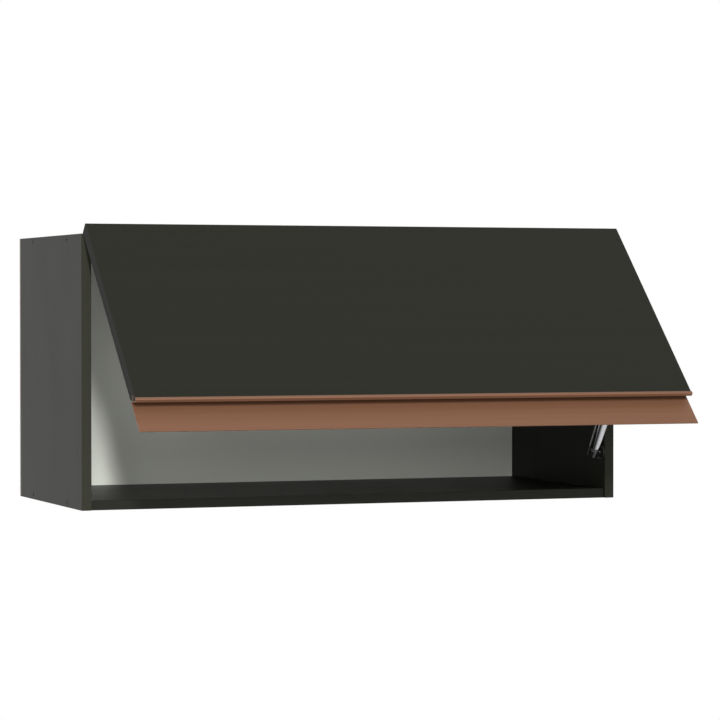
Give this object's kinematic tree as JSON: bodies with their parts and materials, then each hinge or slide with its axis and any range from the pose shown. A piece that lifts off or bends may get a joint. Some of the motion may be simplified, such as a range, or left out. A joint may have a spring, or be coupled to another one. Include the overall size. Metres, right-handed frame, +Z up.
{
  "type": "lift up wall cabinet",
  "caption": "Top-hung lift-up wall cabinet: dark board carcass with a white back, a flap with a copper-coloured handle profile, and a gas strut that holds the flap open.",
  "frame": {"origin": "centre of the back panel's rear face, which lies on the wall", "axes": "+X to the right seen from the front, +Y back into the wall, +Z up; the flap opens towards -Y"},
  "size_m": [0.7, 0.5395, 0.3428],
  "materials": {
    "graphite_board": "matt graphite laminate on board, with a very faint grain",
    "white_back": "thin hardboard with a satin white face",
    "copper_profile": "satin copper-coloured anodising, drawn along its length",
    "zinc_steel": "bright zinc",
    "polished_steel": "polished",
    "black_plastic": "moulded black plastic with a slight gloss",
    "screw_steel": "dark zinc",
    "clear_bumper": "soft clear rubber"
  },
  "bodies": {
    "cabinet": {"left_side_panel": "graphite_board", "right_side_panel": "graphite_board", "top_panel": "graphite_board", "bottom_panel": "graphite_board", "back_panel": "white_back", "left_hanger": "zinc_steel", "right_hanger": "zinc_steel", "left_hinge_frame_leaf": "zinc_steel", "right_hinge_frame_leaf": "zinc_steel", "left_hinge_pin": "zinc_steel", "right_hinge_pin": "zinc_steel", "strut_base_plate": "black_plastic", "strut_base_ball_stud": "zinc_steel", "left_top_front_screw": "screw_steel", "left_top_rear_screw": "screw_steel", "left_bottom_front_screw": "screw_steel", "left_bottom_rear_screw": "screw_steel", "right_top_front_screw": "screw_steel", "right_top_rear_screw": "screw_steel", "right_bottom_front_screw": "screw_steel", "right_bottom_rear_screw": "screw_steel", "back_nail_top_left": "screw_steel", "back_nail_top_middle": "screw_steel", "back_nail_top_right": "screw_steel", "back_nail_bottom_left": "screw_steel", "back_nail_bottom_middle": "screw_steel", "back_nail_bottom_right": "screw_steel", "back_nail_left_side": "screw_steel", "back_nail_right_side": "screw_steel", "left_hanger_top_screw": "screw_steel", "left_hanger_bottom_screw": "screw_steel", "right_hanger_top_screw": "screw_steel", "right_hanger_bottom_screw": "screw_steel", "left_hinge_frame_left_screw": "screw_steel", "left_hinge_frame_right_screw": "screw_steel", "right_hinge_frame_left_screw": "screw_steel", "right_hinge_frame_right_screw": "screw_steel", "strut_base_top_screw": "screw_steel", "strut_base_bottom_screw": "screw_steel"},
    "flap": {"flap_board": "graphite_board", "handle_profile": "copper_profile", "left_hinge_flap_leaf": "zinc_steel", "right_hinge_flap_leaf": "zinc_steel", "left_bumper": "clear_bumper", "right_bumper": "clear_bumper", "flap_bracket": "zinc_steel", "flap_stud": "zinc_steel", "left_hinge_flap_left_screw": "screw_steel", "left_hinge_flap_right_screw": "screw_steel", "right_hinge_flap_left_screw": "screw_steel", "right_hinge_flap_right_screw": "screw_steel", "flap_bracket_top_screw": "screw_steel", "flap_bracket_bottom_screw": "screw_steel"},
    "strut_cylinder": {"strut_base_socket": "black_plastic", "strut_tube": "polished_steel", "strut_rod_guide": "black_plastic"},
    "strut_piston_rod": {"strut_piston": "zinc_steel", "strut_rod": "polished_steel", "strut_rod_socket": "black_plastic"}
  },
  "joints": [
    {"name": "flap_hinge", "type": "hinge", "parent": "cabinet", "child": "flap", "pos_m": [0, -0.29875, 0.1645], "axis": [-1, 0, 0], "range_deg": [-46.1, 0]},
    {"name": "strut_swing", "type": "hinge", "parent": "cabinet", "child": "strut_cylinder", "pos_m": [0.328, -0.287, -0.107], "axis": [1, 0, 0], "range_deg": [-32.7, 0]},
    {"name": "strut_stroke", "type": "slide", "parent": "strut_cylinder", "child": "strut_piston_rod", "axis": [0, -0.5549, 0.8319], "range_m": [-0.0711, 0]}
  ],
  "couplings": [
    {"joint": "strut_swing", "follows": "flap_hinge", "ratio": 0.70655},
    {"joint": "strut_stroke", "follows": "flap_hinge", "m_per_rad": 0.088149}
  ]
}
